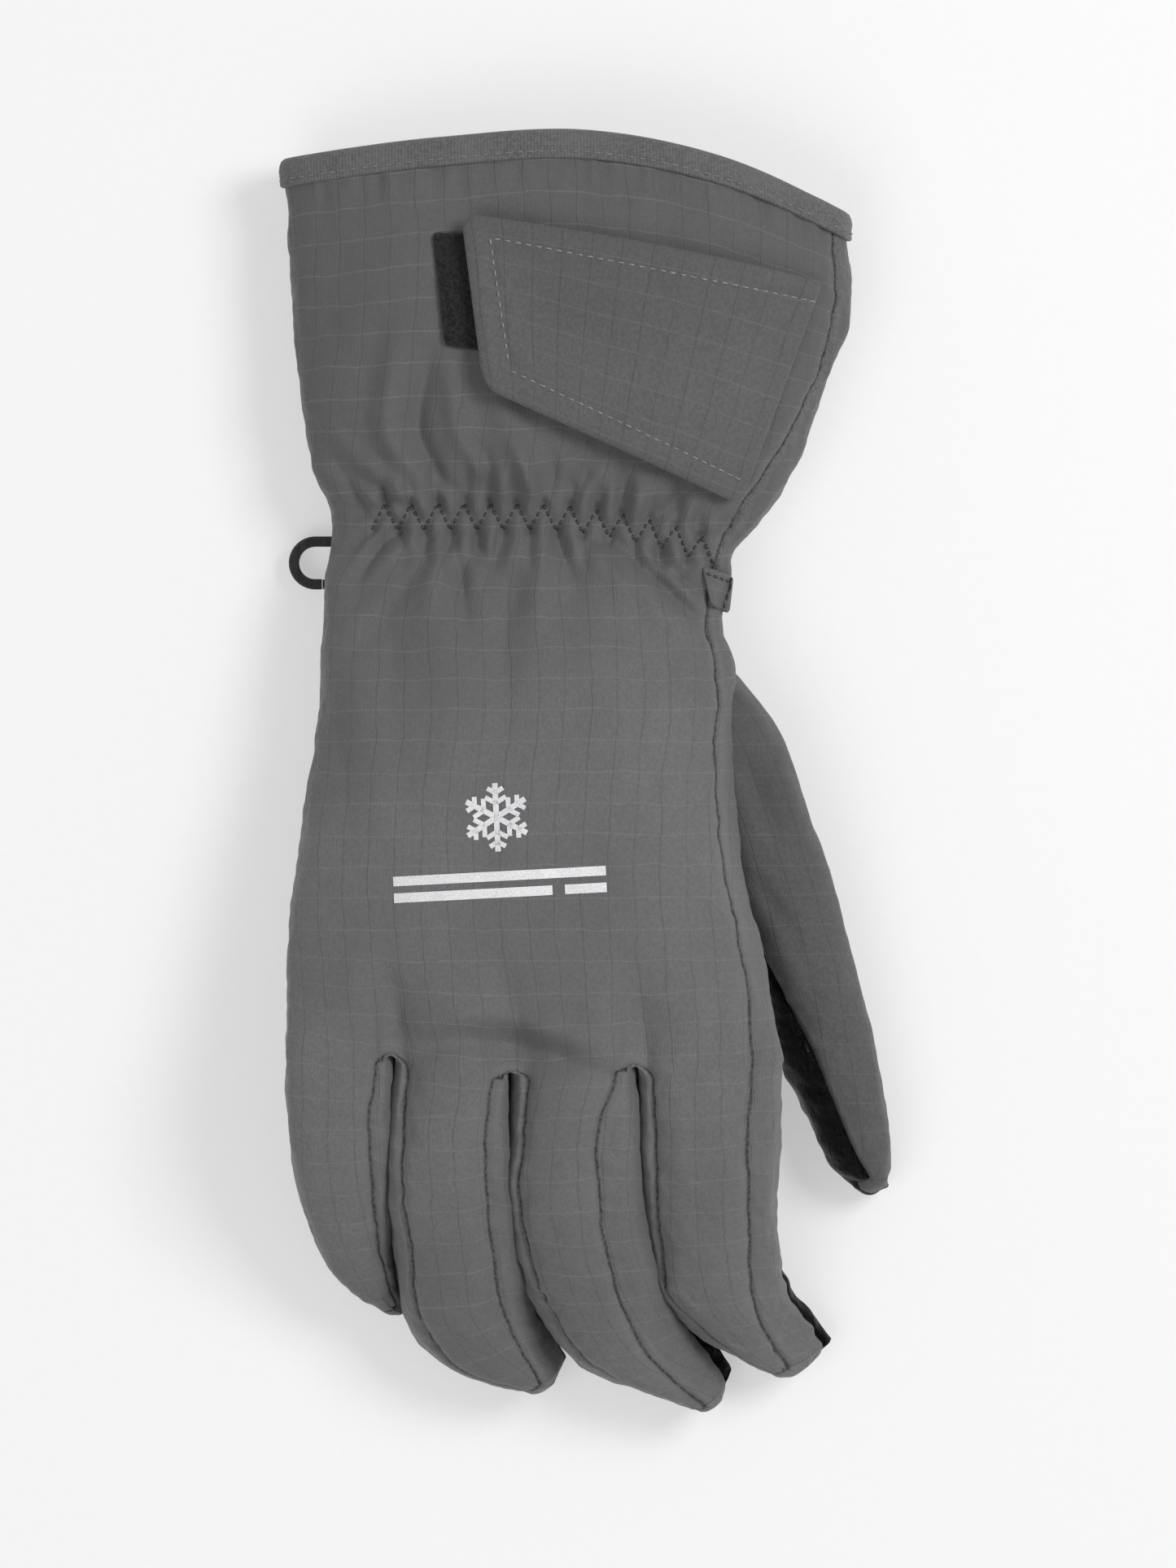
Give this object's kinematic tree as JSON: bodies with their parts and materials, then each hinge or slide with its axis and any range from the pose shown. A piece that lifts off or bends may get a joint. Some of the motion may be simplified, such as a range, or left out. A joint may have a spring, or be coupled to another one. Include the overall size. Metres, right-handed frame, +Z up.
{
  "type": "ski glove",
  "caption": "Padded five-finger ski glove with a gauntlet cuff, elasticated wrist, closing flap and pairing clip.",
  "frame": {"origin": "under the middle of the glove's box, on the surface that it rests on", "axes": "+Z up through the back of the hand, +Y towards the cuff, +X towards the thumb"},
  "size_m": [0.1472, 0.3075, 0.0515],
  "materials": {
    "ripstop": "grey ripstop nylon twill",
    "palm_leather": "black grained leather",
    "binding": "folded grey binding",
    "lining": "brushed knit",
    "wadding": "fibre wadding",
    "loop_tape": "black loop tape",
    "hook_tape": "black hook tape",
    "elastic": "woven elastic",
    "clip_plastic": "black moulded nylon",
    "clip_pin": "plain wire",
    "webbing": "black woven tape",
    "thread": "sewing thread",
    "print": "light grey print"
  },
  "bodies": {
    "gauntlet": {"gauntlet_back": "ripstop", "gauntlet_palm": "ripstop", "gauntlet_gusset": "ripstop", "cuff_binding": "binding", "gauntlet_padding": "wadding", "gauntlet_lining": "lining", "loop_patch": "loop_tape", "wrist_elastic": "elastic"},
    "flap": {"flap_outer": "ripstop", "flap_lining": "lining", "flap_hook_tape": "hook_tape"},
    "hand": {"hand_back": "ripstop", "hand_palm": "palm_leather", "hand_side_radial": "ripstop", "hand_side_ulnar": "ripstop", "hand_padding": "wadding", "hand_lining": "lining", "thumb_saddle": "ripstop", "thumb_saddle_padding": "wadding", "clip_webbing": "webbing", "finger_forks": "ripstop"},
    "clip": {"clip_frame": "clip_plastic", "clip_pin": "clip_pin"},
    "clip_gate": {"clip_gate": "clip_plastic"},
    "thumb": {"thumb_back": "ripstop", "thumb_palm": "palm_leather", "thumb_padding": "wadding", "thumb_lining": "lining"},
    "little": {"little_back": "ripstop", "little_gusset": "ripstop", "little_palm": "palm_leather", "little_padding": "wadding", "little_lining": "lining"},
    "ring": {"ring_back": "ripstop", "ring_gusset": "ripstop", "ring_palm": "palm_leather", "ring_padding": "wadding", "ring_lining": "lining"},
    "middle": {"middle_back": "ripstop", "middle_gusset": "ripstop", "middle_palm": "palm_leather", "middle_padding": "wadding", "middle_lining": "lining"},
    "index": {"index_back": "ripstop", "index_gusset": "ripstop", "index_palm": "palm_leather", "index_padding": "wadding", "index_lining": "lining"}
  },
  "joints": [
    {"name": "wrist_bend", "type": "hinge", "parent": "gauntlet", "child": "hand", "pos_m": [0, 0.062, 0.0345], "axis": [-1, 0, 0], "range_deg": [0, 45]},
    {"name": "flap_peel", "type": "hinge", "parent": "gauntlet", "child": "flap", "pos_m": [0.0472, 0.09605, 0.0302], "axis": [0.3631, 0.9318, 0], "range_deg": [0, 75]},
    {"name": "clip_swivel", "type": "hinge", "parent": "hand", "child": "clip", "pos_m": [-0.04325, 0.0538, 0.0042], "axis": [0, 0, 1], "range_deg": [0, 45]},
    {"name": "clip_gate_spring", "type": "hinge", "parent": "clip", "child": "clip_gate", "pos_m": [-0.0513, 0.0486, 0.0042], "axis": [0, 0, -1], "range_deg": [0, 22], "stiffness_Nm_per_rad": 0.004, "springref_deg": -5.73},
    {"name": "thumb_spread", "type": "hinge", "parent": "hand", "child": "thumb", "pos_m": [0.04759, -0.02538, 0.012], "axis": [0, 0, 1], "range_deg": [0, 30]},
    {"name": "little_curl", "type": "hinge", "parent": "hand", "child": "little", "pos_m": [-0.06, -0.0823, 0.035], "axis": [1, 0, 0], "range_deg": [-25, 60]},
    {"name": "ring_curl", "type": "hinge", "parent": "hand", "child": "ring", "pos_m": [-0.033, -0.0823, 0.035], "axis": [1, 0, 0], "range_deg": [-25, 60]},
    {"name": "middle_curl", "type": "hinge", "parent": "hand", "child": "middle", "pos_m": [-0.0045, -0.0823, 0.035], "axis": [1, 0, 0], "range_deg": [-25, 60]},
    {"name": "index_curl", "type": "hinge", "parent": "hand", "child": "index", "pos_m": [0.0288, -0.0823, 0.035], "axis": [1, 0, 0], "range_deg": [-25, 60]}
  ]
}
